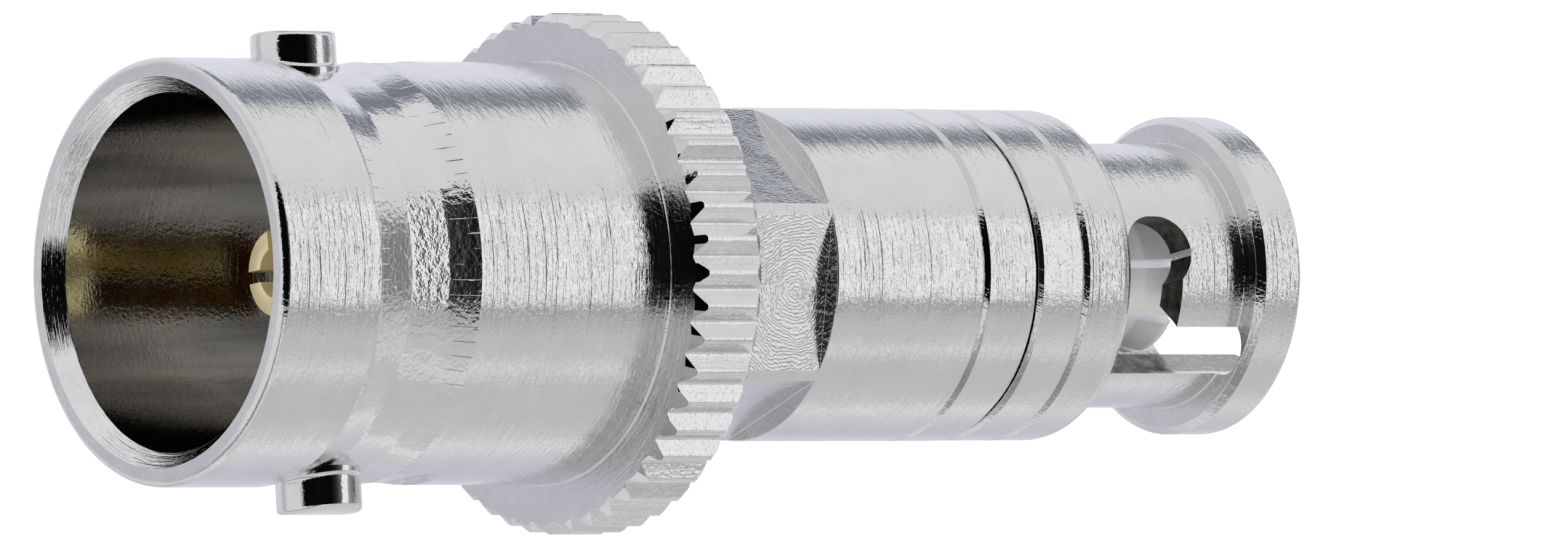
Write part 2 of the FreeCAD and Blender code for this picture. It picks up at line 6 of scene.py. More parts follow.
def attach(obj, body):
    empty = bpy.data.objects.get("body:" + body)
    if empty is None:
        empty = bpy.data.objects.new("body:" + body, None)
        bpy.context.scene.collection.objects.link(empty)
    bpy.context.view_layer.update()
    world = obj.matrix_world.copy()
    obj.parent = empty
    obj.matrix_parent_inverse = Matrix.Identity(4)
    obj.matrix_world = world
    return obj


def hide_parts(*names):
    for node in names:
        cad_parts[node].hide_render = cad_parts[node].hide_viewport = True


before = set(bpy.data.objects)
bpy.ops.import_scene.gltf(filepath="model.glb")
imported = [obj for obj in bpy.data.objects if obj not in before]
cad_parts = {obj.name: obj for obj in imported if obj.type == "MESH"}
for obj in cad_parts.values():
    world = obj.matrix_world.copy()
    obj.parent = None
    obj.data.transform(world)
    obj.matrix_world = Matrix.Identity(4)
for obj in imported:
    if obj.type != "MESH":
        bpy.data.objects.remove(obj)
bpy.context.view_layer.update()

MM = 0.001
RAD = math.radians

# ---------------------------------------------------------------- directions
# The view looks down at the adapter, which stands on its plug, and is rolled so that
# the axis lies across the picture. N is the level direction towards the camera and
# U the level direction that is up in the picture.
VIEW_AZ = RAD(-95.8)
N = Vector((math.cos(VIEW_AZ), math.sin(VIEW_AZ), 0.0))
U = Vector((0, 0, 1)).cross(N)
TILT = RAD(37.7)


# ---------------------------------------------------------------- mesh tools
def rotate2(v, a):
    return Vector((v.x * math.cos(a) - v.y * math.sin(a), v.x * math.sin(a) + v.y * math.cos(a)))


def corner_rows(before, corner, after, steps=4):
    """One corner (r, z, rounding) of an outline, solid on the left, as rows
    (r, z, nr, nz) round its arc. A sharp corner is one row with no normal."""
    r, z, rad = corner
    p, a, b = Vector((r, z)), Vector(before[:2]), Vector(after[:2])
    din, dout = (p - a).normalized(), (b - p).normalized()
    ang = math.atan2(din.x * dout.y - din.y * dout.x, din.dot(dout))
    if rad <= 0 or abs(ang) < 1e-3:
        return [(r, z, None, None)]
    t = min(rad * math.tan(abs(ang) / 2), 0.48 * (p - a).length, 0.48 * (b - p).length)
    rad = t / math.tan(abs(ang) / 2)
    sign = 1 if ang > 0 else -1
    centre = p - din * t + Vector((-din.y, din.x)) * rad * sign
    rows = []
    for k in range(steps + 1):
        d = rotate2(din, ang * k / steps)
        normal = Vector((d.y, -d.x))
        q = centre + normal * rad * sign
        rows.append((q.x, q.y, normal.x, normal.y))
    return rows


def stations(corners, steps=4):
    """A closed outline of corners as rows (r, z, nr, nz)."""
    out = []
    n = len(corners)
    for i in range(n):
        before, corner, after = corners[i - 1], corners[i], corners[(i + 1) % n]
        for r, z, nr, nz in corner_rows(before, corner, after, steps):
            if nr is None:
                p = Vector((r, z))
                d = ((p - Vector(before[:2])).normalized()
                     + (Vector(after[:2]) - p).normalized()).normalized()
                nr, nz = d.y, -d.x
            out.append((r, z, nr, nz))
    return out


def add_object(name, mesh):
    o = bpy.data.objects.new(name, mesh)
    bpy.context.scene.collection.objects.link(o)
    return o


def lathe(name, corners, segs=256, steps=4, warp=None):
    """A turned piece. Its normals are those of the true surface."""
    rows = stations(corners, steps)
    verts, normals, faces = [], [], []
    for r, z, nr, nz in rows:
        for j in range(segs):
            a = 2 * math.pi * j / segs
            c, s = math.cos(a), math.sin(a)
            verts.append((r * c * MM, r * s * MM, z * MM))
            normals.append((nr * c, nr * s, nz))
    n = len(rows)
    for i in range(n):
        k = (i + 1) % n
        for j in range(segs):
            m = (j + 1) % segs
            faces.append((i * segs + j, i * segs + m, k * segs + m, k * segs + j))
    mesh = bpy.data.meshes.new(name)
    mesh.from_pydata(verts, [], faces)
    mesh.polygons.foreach_set("use_smooth", [True] * len(mesh.polygons))
    mesh.update()
    mesh.normals_split_custom_set_from_vertices(normals)
    return add_object(name, mesh)


def column_solid(name, columns, closed=True, sharp=None, faces_extra=()):
    """A solid of revolution whose outline changes with the angle: columns is a list of
    (angle, [(r, z), ...]) with equal counts, going round; each outline closed."""
    verts, faces = [], []
    n = len(columns[0][1])
    for a, pts in columns:
        c, s = math.cos(a), math.sin(a)
        for r, z in pts:
            verts.append((r * c * MM, r * s * MM, z * MM))
    count = len(columns)
    for j in range(count if closed else count - 1):
        m = (j + 1) % count
        for i in range(n):
            k = (i + 1) % n
            faces.append((j * n + i, m * n + i, m * n + k, j * n + k))
    if not closed:
        faces.append(tuple(range(n)))
        faces.append(tuple((count - 1) * n + i for i in reversed(range(n))))
    mesh = bpy.data.meshes.new(name)
    mesh.from_pydata(verts, [], faces)
    mesh.polygons.foreach_set("use_smooth", [True] * len(mesh.polygons))
    mesh.update()
    if sharp is not None:
        mesh.set_sharp_from_angle(angle=sharp)
    return add_object(name, mesh)


def grid_solid(name, angles, column, own=None):
    """A body of many columns about the axis. column(a) gives its closed outline as rows
    (r, z, kind, nr, nz), the same kinds for every angle. kind says how the strip that
    starts at the row is shaded: T turned, with the rows' own normals or else the strip's;
    P a level face; K upright, following the column's neighbours; W and B by the faces,
    B smoothed along the axis; R turned where own says so, else by its neighbours."""
    cols = [column(a) for a in angles]
    count, n = len(angles), len(cols[0])
    pos = [[Vector((r * math.cos(a), r * math.sin(a), z)) for r, z, k, nr, nz in col]
           for a, col in zip(angles, cols)]
    index, verts, faces, normals = {}, [], [], []

    def vert(j, i):
        v = pos[j][i]
        key = (round(v.x, 5), round(v.y, 5), round(v.z, 5))
        if key not in index:
            index[key] = len(verts)
            verts.append(v * MM)
        return index[key]

    def face_normal(j, i):
        m, k = (j + 1) % count, (i + 1) % n
        d1, d2 = pos[m][k] - pos[j][i], pos[j][k] - pos[m][i]
        c = d1.cross(d2)
        return c.normalized() if c.length > 1e-9 else None

    def strip_normal(j, i, k):
        r0, z0 = cols[j][i][:2]
        r1, z1 = cols[j][k][:2]
        d = Vector((r1 - r0, z1 - z0))
        if d.length < 1e-9:
            return 1.0, 0.0
        d.normalize()
        return d.y, -d.x

    upright = []
    for j in range(count):
        upright.append(None)
    for j in range(count):
        kind = [i for i in range(n) if cols[j][i][2] == "K"]
        if not kind:
            break
        i = kind[0]
        a, b, c = pos[j - 1][i], pos[j][i], pos[(j + 1) % count][i]
        n0 = Vector(((b - a).y, -(b - a).x, 0)).normalized()
        n1 = Vector(((c - b).y, -(c - b).x, 0)).normalized()
        upright[j] = (n0, n1, n0.angle(n1) < RAD(28))

    def corner(j, i, side, strip):
        """Normal at column j, row i, for the face on that side (0 after j, 1 before it)
        in the strip that starts at row strip."""
        r, z, kind, nr, nz = cols[j][i]
        kind = cols[j][strip][2]
        a = angles[j]
        k = (strip + 1) % n
        face = j if side == 0 else (j - 1) % count
        if kind == "P":
            s = 1.0 if cols[j][strip][4] > 0 else -1.0
            return Vector((0, 0, s))
        if kind == "K":
            n0, n1, smooth = upright[j]
            if smooth:
                return (n0 + n1).normalized()
            return n1 if side == 0 else n0
        if kind == "W":
            return face_normal(face, strip) or Vector((math.cos(a), math.sin(a), 0))
        if kind == "B":
            out = Vector((math.cos(a), math.sin(a), 0))
            here = face_normal(face, strip) or out
            other = strip + 1 if i != strip else strip - 1
            if cols[j][other % n][2] == "B":
                here = (here + (face_normal(face, other % n) or here)).normalized()
            level = Vector((here.x, here.y, 0)).normalized() * 0.22 + out * 0.78
            level = level.normalized() * math.sqrt(max(0.0, 1.0 - here.z ** 2))
            return Vector((level.x, level.y, here.z))
        if kind == "F":
            mid = 0.5 * (a + angles[(j + 1) % count if side == 0 else j - 1])
            if abs(a - mid) > 1.0:
                mid = a
            turn = flat_turn(mid)
            turn = a if turn is None else turn
            flat, up = (1.0, 0.0) if cols[j][i][2] != "F" else (nr, nz)
            return Vector((flat * math.cos(turn), flat * math.sin(turn), up)).normalized()
        if kind == "R" and own is not None:
            ring = [(j, i), (j - 1, i), ((j + 1) % count, i), (j, i - 1), (j, (i + 1) % n)]
            if not all(own(angles[jj], *cols[jj][ii][:2]) for jj, ii in ring):
                du = pos[(j + 1) % count][i] - pos[j - 1][i]
                dv = pos[j][(i + 1) % n] - pos[j][i - 1]
                return du.cross(dv).normalized()
            return Vector((math.cos(a), math.sin(a), 0))
        if nr is None:
            nr, nz = strip_normal(j, strip, k)
        return Vector((nr * math.cos(a), nr * math.sin(a), nz)).normalized()

    for j in range(count):
        m = (j + 1) % count
        for i in range(n):
            k = (i + 1) % n
            ring = [(j, i, 0), (m, i, 1), (m, k, 1), (j, k, 0)]
            ids, used = [], []
            for jj, ii, side in ring:
                v = vert(jj, ii)
                if v not in ids:
                    ids.append(v)
                    used.append((jj, ii, side))
            if len(ids) < 3:
                continue
            faces.append(tuple(ids))
            for jj, ii, side in used:
                normals.append(corner(jj, ii, side, i))
    mesh = bpy.data.meshes.new(name)
    mesh.from_pydata(verts, [], faces)
    mesh.polygons.foreach_set("use_smooth", [True] * len(mesh.polygons))
    mesh.update()
    mesh.normals_split_custom_set([tuple(v) for v in normals])
    return add_object(name, mesh)


# ---------------------------------------------------------------- materials
class Tree(object):
    """Short hand for building a node tree."""

    def __init__(self, tree):
        self.tree = tree
        tree.nodes.clear()

    def node(self, kind, **values):
        n = self.tree.nodes.new(kind)
        for key, value in values.items():
            setattr(n, key, value)
        return n

    def link(self, a, b):
        self.tree.links.new(a, b)

    def math(self, op, a, b=None, clamp=False):
        n = self.node("ShaderNodeMath", operation=op, use_clamp=clamp)
        for i, v in enumerate((a, b)):
            if v is None:
                continue
            if isinstance(v, (int, float)):
                n.inputs[i].default_value = v
            else:
                self.link(v, n.inputs[i])
        return n.outputs[0]

    def combine(self, x, y, z):
        n = self.node("ShaderNodeCombineXYZ")
        for i, v in enumerate((x, y, z)):
            if isinstance(v, (int, float)):
                n.inputs[i].default_value = v
            else:
                self.link(v, n.inputs[i])
        return n.outputs[0]

    def dot(self, a, vec):
        n = self.node("ShaderNodeVectorMath", operation="DOT_PRODUCT")
        self.link(a, n.inputs[0])
        n.inputs[1].default_value = vec
        return n.outputs["Value"]

    def noise(self, vector, scale=1.0, detail=2.0, rough=0.5, distortion=0.0):
        n = self.node("ShaderNodeTexNoise")
        self.link(vector, n.inputs["Vector"])
        n.inputs["Scale"].default_value = scale
        n.inputs["Detail"].default_value = detail
        n.inputs["Roughness"].default_value = rough
        n.inputs["Distortion"].default_value = distortion
        return n.outputs["Fac"]

    def ramp(self, fac, stops, interpolation="LINEAR"):
        n = self.node("ShaderNodeValToRGB")
        n.color_ramp.interpolation = interpolation
        els = n.color_ramp.elements
        while len(els) > 1:
            els.remove(els[-1])
        els[0].position = stops[0][0]
        els[0].color = tuple(stops[0][1]) + (1.0,) if len(stops[0][1]) == 3 else stops[0][1]
        for pos, col in stops[1:]:
            e = els.new(pos)
            e.color = tuple(col) + (1.0,) if len(col) == 3 else col
        self.link(fac, n.inputs["Fac"])
        return n.outputs["Color"]

    def span(self, value, a, b, c=0.0, d=1.0, smooth=False):
        n = self.node("ShaderNodeMapRange")
        n.clamp = True
        if smooth:
            n.interpolation_type = "SMOOTHSTEP"
        self.link(value, n.inputs["Value"])
        n.inputs["From Min"].default_value = a
        n.inputs["From Max"].default_value = b
        n.inputs["To Min"].default_value = c
        n.inputs["To Max"].default_value = d
        return n.outputs["Result"]


def metal(name, base, rough=0.09, turn=13.0, per_mm=9.0, wide=2.0, grain=2.2, grain_per_mm=11.0,
          scratch=2.0, streak=0.0, rings=0.0, facets=0.0, spread=0.03, tint=0.03,
          mottle=0.0, solid=1.0, bars=0.0):
    """Plated metal. Its marks are in thousandths of a millimetre: fine lines round the
    axis on cylinders and rings on faces, broader ripples, an even grain, a few oblique
    scratches, and for milled pieces streaks along the axis or arcs on the flats."""
    mat = bpy.data.materials.new(name)
    mat.use_nodes = True
    t = Tree(mat.node_tree)
    out = t.node("ShaderNodeOutputMaterial")
    bsdf = t.node("ShaderNodeBsdfPrincipled")
    bsdf.inputs["Metallic"].default_value = solid
    t.link(bsdf.outputs[0], out.inputs[0])
    coord = t.node("ShaderNodeTexCoord").outputs["Object"]
    mm = t.node("ShaderNodeVectorMath", operation="SCALE")
    t.link(coord, mm.inputs[0])
    mm.inputs["Scale"].default_value = 1000.0
    p = mm.outputs[0]
    sep = t.node("ShaderNodeSeparateXYZ")
    t.link(p, sep.inputs[0])
    x, y, z = sep.outputs
    rr = t.math("ADD", t.math("MULTIPLY", x, x), t.math("MULTIPLY", y, y))
    r = t.math("SQRT", rr)
    along = t.math("ADD", z, t.math("MULTIPLY", r, 1.37))
    parts = []
    if turn:
        fine = t.noise(t.combine(t.math("MULTIPLY", x, 1.3), t.math("MULTIPLY", y, 1.3),
                                 t.math("MULTIPLY", along, per_mm)), 1.0, 3.0, 0.6)
        parts.append(t.math("MULTIPLY", fine, turn))
        deep = t.noise(t.combine(t.math("MULTIPLY", x, 0.12), t.math("MULTIPLY", y, 0.12),
                                 t.math("MULTIPLY", along, 5.0)), 1.0, 1.0, 0.5)
        parts.append(t.math("MULTIPLY", t.span(deep, 0.60, 0.66), -0.22 * turn))
    if wide:
        broad = t.noise(t.combine(t.math("MULTIPLY", x, 0.25), t.math("MULTIPLY", y, 0.25),
                                  t.math("MULTIPLY", along, 4.0)), 1.0, 2.0, 0.5)
        parts.append(t.math("MULTIPLY", broad, wide))
    if grain:
        fleck = t.math("MULTIPLY", t.noise(p, grain_per_mm, 2.0, 0.6), grain)
        if facets:  # the cutter chattered on one side
            side = t.math("DIVIDE", t.dot(p, tuple(N)), r)
            fleck = t.math("MULTIPLY", fleck, t.span(side, 0.82, 0.94, 0.45, 1.0))
        parts.append(fleck)
    if scratch:
        # one family of scratches leans one way on the upper side, the other on the lower
        long1 = (Vector((0, 0, 1)) * 0.66 - N * 0.62 + U * 0.42).normalized()
        cross1 = long1.cross(N).normalized()
        third1 = long1.cross(cross1)
        s1 = t.noise(t.combine(t.math("MULTIPLY", t.dot(p, tuple(long1)), 0.9),
                               t.math("MULTIPLY", t.dot(p, tuple(cross1)), 13.0),
                               t.math("MULTIPLY", t.dot(p, tuple(third1)), 13.0)),
                     1.0, 2.0, 0.6)
        long2 = (Vector((0, 0, 1)) * 0.45 + N * 0.55 - U * 0.70).normalized()
        cross2 = long2.cross(U).normalized()
        third2 = long2.cross(cross2)
        s2 = t.noise(t.combine(t.math("MULTIPLY", t.dot(p, tuple(long2)), 1.0),
                               t.math("MULTIPLY", t.dot(p, tuple(cross2)), 11.0),
                               t.math("MULTIPLY", t.dot(p, tuple(third2)), 11.0)),
                     1.0, 2.0, 0.6)
        both = t.math("ADD", t.span(s1, 0.52, 0.72), t.math("MULTIPLY", t.span(s2, 0.58, 0.76), 0.6))
        parts.append(t.math("MULTIPLY", both, scratch))
    if streak:
        lines = t.noise(t.combine(t.math("MULTIPLY", x, 10.0), t.math("MULTIPLY", y, 10.0),
                                  t.math("MULTIPLY", z, 0.6)), 1.0, 3.0, 0.6)
        parts.append(t.math("MULTIPLY", lines, streak))
    if rings:
        dz = t.math("SUBTRACT", z, 14.6)
        across = t.math("MAXIMUM", t.math("SUBTRACT", rr, 3.39 * 3.39), 0.0)
        dist = t.math("SQRT", t.math("ADD", t.math("MULTIPLY", dz, dz), across))
        dist = t.math("ADD", dist, t.math("MULTIPLY", t.noise(p, 1.3, 3.0, 0.6), 0.55))
        parts.append(t.math("MULTIPLY", t.math("SINE", t.math("MULTIPLY", dist, 78.0)), rings))
    if facets:
        ang = t.math("ARCTAN2", y, x)
        turns = t.math("ADD", t.math("MULTIPLY", ang, FACETS / (2 * math.pi)), 50.0 - FACET_AT)
        near = t.math("ABSOLUTE", t.math("SUBTRACT", t.math("FRACT", turns), 0.5))
        line = t.span(near, 0.462, 0.5)
        rear = t.math("ADD", t.span(z, 25.45, 24.7), t.span(z, 27.0, 27.4))
        broken = t.span(t.noise(t.combine(t.math("MULTIPLY", ang, 14.0), 0.0,
                                          t.math("MULTIPLY", z, 1.3)), 1.0, 1.0, 0.5), 0.42, 0.56)
        parts.append(t.math("MULTIPLY", t.math("MULTIPLY", line, t.math("MULTIPLY", rear, broken)),
                            -facets))
    height = parts[0]
    for part in parts[1:]:
        height = t.math("ADD", height, part)
    bump = t.node("ShaderNodeBump")
    bump.inputs["Strength"].default_value = 1.0
    bump.inputs["Distance"].default_value = 1.0e-6
    t.link(height, bump.inputs["Height"])
    t.link(bump.outputs[0], bsdf.inputs["Normal"])
    blot = t.noise(p, 0.55, 3.0, 0.55)
    t.link(t.span(blot, 0.3, 0.7, rough - spread, rough + spread), bsdf.inputs["Roughness"])
    lo = tuple(max(0.0, c * (1.0 - tint)) for c in base)
    hi = tuple(min(1.0, c * (1.0 + tint)) for c in base)
    cloud = t.noise(p, 1.1, 4.0, 0.6)
    if mottle:
        # painted shade on the slot walls with a random mottle: darker towards the seat, lighter at the mouth
        cloud = t.math("ADD", t.math("MULTIPLY", t.noise(p, 2.6, 3.0, 0.65), 0.8),
                       t.span(z, 2.6, 2.1, 0.0, 0.60))
        lo, hi = tuple(c * (1.0 - mottle) for c in base), tuple(min(1.0, c * 2.5) for c in base)
        t.link(t.ramp(cloud, [(0.28, lo), (0.48, base), (0.72, hi)]), bsdf.inputs["Base Color"])
        return mat
    if bars:
        # painted shade: long darker and lighter streaks along the axis, more of them on one side
        cloud = t.noise(t.combine(t.math("MULTIPLY", x, 1.1), t.math("MULTIPLY", y, 1.1),
                                  t.math("MULTIPLY", z, 0.10)), 1.0, 3.0, 0.6)
        lo = tuple(c * (1.0 - bars) for c in base)
        hi = tuple(min(1.0, c * (1.0 + bars)) for c in base)
    t.link(t.ramp(cloud, [(0.35, lo), (0.65, hi)]), bsdf.inputs["Base Color"])
    return mat


def ptfe(name, glow):
    mat = bpy.data.materials.new(name)
    mat.use_nodes = True
    t = Tree(mat.node_tree)
    out = t.node("ShaderNodeOutputMaterial")
    bsdf = t.node("ShaderNodeBsdfPrincipled")
    t.link(bsdf.outputs[0], out.inputs[0])
    bsdf.inputs["Roughness"].default_value = 0.45
    bsdf.inputs["Emission Color"].default_value = (0.80, 0.83, 0.92, 1)
    bsdf.inputs["Emission Strength"].default_value = glow
    coord = t.node("ShaderNodeTexCoord").outputs["Object"]
    mm = t.node("ShaderNodeVectorMath", operation="SCALE")
    t.link(coord, mm.inputs[0])
    mm.inputs["Scale"].default_value = 1000.0
    n1 = t.noise(mm.outputs[0], 3.0, 3.0, 0.5)
    t.link(t.ramp(n1, [(0.3, (0.84, 0.84, 0.86)), (0.7, (0.92, 0.92, 0.93))]),
           bsdf.inputs["Base Color"])
    bump = t.node("ShaderNodeBump")
    bump.inputs["Strength"].default_value = 1.0
    bump.inputs["Distance"].default_value = 4.0e-6
    t.link(n1, bump.inputs["Height"])
    t.link(bump.outputs[0], bsdf.inputs["Normal"])
    return mat


# the milled band's facets: how many, and where their edges fall
FACETS = 84
FACET_AT = (math.degrees(VIEW_AZ) + 28.2) / 360.0 * FACETS
WHITE_METAL = (0.80, 0.80, 0.81)
NICKEL = metal("nickel", WHITE_METAL, rough=0.055, spread=0.01, streak=1.3)
NUT_NICKEL = metal("nut_nickel", WHITE_METAL, rough=0.09, turn=6.0, grain=7.0, grain_per_mm=11.0,
                   wide=2.0, scratch=2.0)
NUT_SIDE = metal("nut_side", WHITE_METAL, rough=0.07, turn=15.0, grain=9.0, grain_per_mm=11.0)
BAND = metal("milled_band", WHITE_METAL, rough=0.06, turn=1.0, wide=0.0, grain=19.0, grain_per_mm=6.0,
             scratch=1.0, facets=9.0)
TEETH = metal("milled_teeth", (0.80, 0.80, 0.81), rough=0.09, turn=0.0, wide=0.0, grain=9.0,
              grain_per_mm=11.0, streak=7.0, scratch=0.0)
BEVELS = metal("tooth_bevels", WHITE_METAL, rough=0.06, turn=0.0, wide=0.0, grain=3.0,
               grain_per_mm=6.0, scratch=0.0)
FLATS = metal("milled_flats", (0.76, 0.76, 0.775), rough=0.10, turn=0.0, wide=0.0, grain=5.0,
              scratch=0.0, rings=0.9)
ENDS = metal("milled_ends", WHITE_METAL, rough=0.12, turn=0.0, wide=0.0, grain=14.0,
             grain_per_mm=8.0, scratch=0.0)
MOUTH = metal("mouth_nickel", (0.92, 0.92, 0.93), rough=0.06, turn=13.0, per_mm=13.0, wide=2.0,
              grain=1.0, scratch=0.0)
LUGS = metal("lug_nickel", WHITE_METAL, rough=0.06, turn=0.0, wide=2.0, grain=2.5, scratch=1.0)
# The bore nickel's darker base colour is painted shade: the bore is drawn darker than the outer nickel.
BORE = metal("bore_nickel", (0.60, 0.585, 0.55), rough=0.10, turn=3.0, grain=4.0, scratch=0.0,
             bars=0.30)
# The slot walls' dark base colour is painted shade in the slots.
WALLS = metal("slot_walls", (0.40, 0.39, 0.36), rough=0.24, turn=0.0, wide=0.0, grain=16.0,
              grain_per_mm=4.0, scratch=0.0, mottle=0.62)
# The seat walls' near-black base colour is painted shade in the lug seats and on the slots' level walls.
SEAT = metal("seat_walls", (0.085, 0.08, 0.07), rough=0.22, turn=0.0, wide=0.0, grain=16.0,
             grain_per_mm=4.0, scratch=0.0, mottle=0.8)
SLEEVE_EDGE = metal("sleeve_edges", (0.93, 0.93, 0.93), rough=0.30, turn=0.0, grain=2.0,
                    scratch=0.0, solid=0.8)
SLEEVE = metal("sleeve_plate", (0.96, 0.95, 0.94), rough=0.42, turn=0.6, grain=2.0, scratch=0.0,
               solid=0.40)
GOLD = metal("gilt", (1.0, 0.86, 0.50), rough=0.28, turn=1.0, grain=4.0, scratch=0.0, tint=0.05,
             solid=0.40)
# The contact's sides get a dark brown gold base: painted shade inside the bore.
GILT_SIDE = metal("gilt_side", (0.20, 0.08, 0.005), rough=0.20, turn=1.0, grain=3.0, scratch=0.0,
                  tint=0.05)
BRONZE = metal("spring_bronze", (0.78, 0.60, 0.40), rough=0.25, turn=1.0, scratch=0.0, tint=0.05)
PTFE = ptfe("ptfe", 0.0)
# The plug insulator's emission is painted light: it glows so that it shows bright inside the sleeve.
PTFE_GLOW = ptfe("ptfe_painted_glow", 0.35)

for node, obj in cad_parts.items():
    mat = NICKEL
    if "insulator" in node:
        mat = PTFE_GLOW if node == "plug_insulator" else PTFE
    elif node in ("plug_pin", "bnc_contact"):
        mat = GOLD
    elif node in ("snap_ring", "thrust_washer", "wave_spring"):
        mat = BRONZE
    for i in range(max(1, len(obj.material_slots))):
        if obj.material_slots:
            obj.material_slots[i].material = mat
        else:
            obj.data.materials.append(mat)


def place(obj, node, body, slot, *mats):
    for m in mats:
        obj.data.materials.append(m)
    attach(obj, body)
    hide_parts(node)
    return obj


# ---------------------------------------------------------------- jack body
BAND_POINTS = [(24.56, 4.81), (24.60, 4.785), (24.98, 4.70), (25.38, 4.62), (25.9, 4.592),
               (26.4, 4.565), (26.55, 4.59), (26.9, 4.665), (27.42, 4.772), (27.47, 4.85)]
BARREL, FLAT, FLAT_AT = 3.83, 3.39, RAD(17.1)
TEETH_COUNT, TIP, TOOTH, CREST_AT = 48, 5.95, 0.29, RAD(2.0)
# one tooth, from valley to valley: part of the pitch, height
PROFILE = [(-0.5, 0.0), (-0.465, 0.02), (-0.43, 0.08), (-0.125, 0.87), (-0.095, 0.945),
           (-0.07, 0.985), (-0.03, 1.0), (0.03, 1.0), (0.07, 0.985), (0.095, 0.945),
           (0.125, 0.87), (0.43, 0.08), (0.465, 0.02)]


def band_radius(z):
    for (z0, r0), (z1, r1) in zip(BAND_POINTS, BAND_POINTS[1:]):
        if z <= z1:
            return r0 + (r1 - r0) * max(0.0, (z - z0) / (z1 - z0))
    return BAND_POINTS[-1][1]


def facet_radius(a, r):
    """The band is milled in short flat facets."""
    step = 2 * math.pi / FACETS
    turns = a / step - FACET_AT
    k = math.floor(turns + 1e-6)
    mid = (k + 0.5 + FACET_AT) * step
    return r * math.cos(step / 2) / math.cos(a - mid)


def pocket_radius(a, r, z):
    """Behind each lug the cutter left a small flat."""
    away = math.hypot(z - 26.0, r * math.sin(a))
    if away < 2.8 and abs(math.cos(a)) > 0.5:
        flat = 4.68 / abs(math.cos(a))
        if flat < r:
            return r + (flat - r) * min(1.0, (2.8 - away) / 0.05)
    return r


def tooth_radius(a):
    f = ((a - CREST_AT) / (2 * math.pi) * TEETH_COUNT) % 1.0
    if f >= 0.5:
        f -= 1.0
    points = PROFILE + [(0.5, 0.0)]
    for (f0, h0), (f1, h1) in zip(points, points[1:]):
        if f <= f1:
            h = h0 + (h1 - h0) * (f - f0) / (f1 - f0)
            return TIP - TOOTH + TOOTH * max(0.0, min(1.0, h))
    return TIP - TOOTH


def flat_turn(a):
    """The direction of the spanner flat at that angle, or None between the flats."""
    k = round((a - FLAT_AT) / RAD(60))
    mid = FLAT_AT + k * RAD(60)
    return mid if abs(a - mid) < math.acos(FLAT / BARREL) else None


def barrel_radius(a):
    k = round((a - FLAT_AT) / RAD(60))
    return min(BARREL, FLAT / math.cos(a - FLAT_AT - k * RAD(60)))


def jack_angles():
    fixed = [((k + FACET_AT) / FACETS * 2 * math.pi) % (2 * math.pi) for k in range(FACETS)]
    half = math.acos(FLAT / BARREL)
    for k in range(6):
        for side in (-half, half):
            fixed.append((FLAT_AT + k * RAD(60) + side) % (2 * math.pi))
    angles = sorted(fixed)
    for k in range(TEETH_COUNT):
        for f, h in PROFILE:
            a = (CREST_AT + (k + f) * 2 * math.pi / TEETH_COUNT) % (2 * math.pi)
            if all(abs(a - b) > 0.0012 for b in fixed):
                angles.append(a)
    return sorted(angles)


def jack_column():
    """Rows that don't change with the angle, worked out once."""
    tail = [(4.81, 19.28, 0), (4.85, 27.47, 0.015), (4.85, 30.2, 0.19), (4.43, 30.2, 0.03),
            (4.065, 29.78, 0.05), (4.065, 21.8, 0.10), (2.4, 21.8, 0.03), (2.4, 19.2, 0.03),
            (1.9, 19.2, 0.03), (1.9, 12.0, 0.02), (2.9, 12.0, 0.03), (2.9, 9.48, 0.02),
            (3.83, 9.48, 0.02), (3.83, 13.71, 0)]
    ahead, behind = [], []
    for i in range(1, len(tail) - 1):
        before = (4.772, 27.42) if i == 1 else tail[i - 1]
        rows = corner_rows(before, tail[i], tail[i + 1], 5 if i in (2, 5) else 3)
        (ahead if i < 11 else behind).extend(rows)
    return ahead, behind


AHEAD, BEHIND = jack_column()
FOOT = corner_rows((5.6, 19.28), (4.81, 19.28, 0.045), (4.81, 23.0), 3)
POCKET_ROWS = [23.2 + (24.56 - 23.2) * k / 17 for k in range(18)]
BAND_ROWS = sorted(set([z for z, r in BAND_POINTS[1:-1]] + [24.60 + 2.82 * k / 28 for k in range(29)]))
BAND_ROWS = [z for i, z in enumerate(BAND_ROWS) if i == 0 or z - BAND_ROWS[i - 1] > 0.012]


def jack_outline(a):
    rf, rt = barrel_radius(a), tooth_radius(a)
    e = min(0.03, 0.5 * (BARREL - rf))
    foot = min(5.75, rt)
    top = max(0.0, (rt - 5.75) / 0.20 * 0.24)
    rows = [(r, z, "T", nr, nz) for r, z, nr, nz in BEHIND]
    rows += [(BARREL, 13.71 - e, "T", 1.0, 0.0), (BARREL - 0.3 * e, 13.71 - 0.3 * e, "T", 0.71, 0.71),
             (BARREL - e, 13.71, "P", 0.0, 1.0), (rf + 0.6 * e, 13.71, "F", 0.0, 1.0),
             (rf + 0.18 * e, 13.71 + 0.18 * e, "F", 0.71, 0.71),
             (rf, 13.71 + 0.6 * e, "F", 1.0, 0.0),
             (rf, 17.41, "P", 0.0, -1.0), (foot, 17.41, "W", None, None),
             (rt, 17.41 + top, "K", None, None), (rt, 19.28 - top, "W", None, None),
             (foot, 19.28, "P", 0.0, 1.0)]
    rows += [(r, z, "T", nr, nz) for r, z, nr, nz in FOOT]
    rows.append((4.81, 23.1, "T", 1.0, 0.0))
    for z in POCKET_ROWS:
        rows.append((pocket_radius(a, 4.81, z), z, "R", None, None))
    for z in BAND_ROWS:
        rows.append((facet_radius(a, band_radius(z)), z, "B", None, None))
    rows += [(r, z, "T", nr, nz) for r, z, nr, nz in AHEAD]
    return rows


def is_round(a, r, z):
    return z < 23.3 or z > 24.57 or abs(r - 4.81) < 1e-6


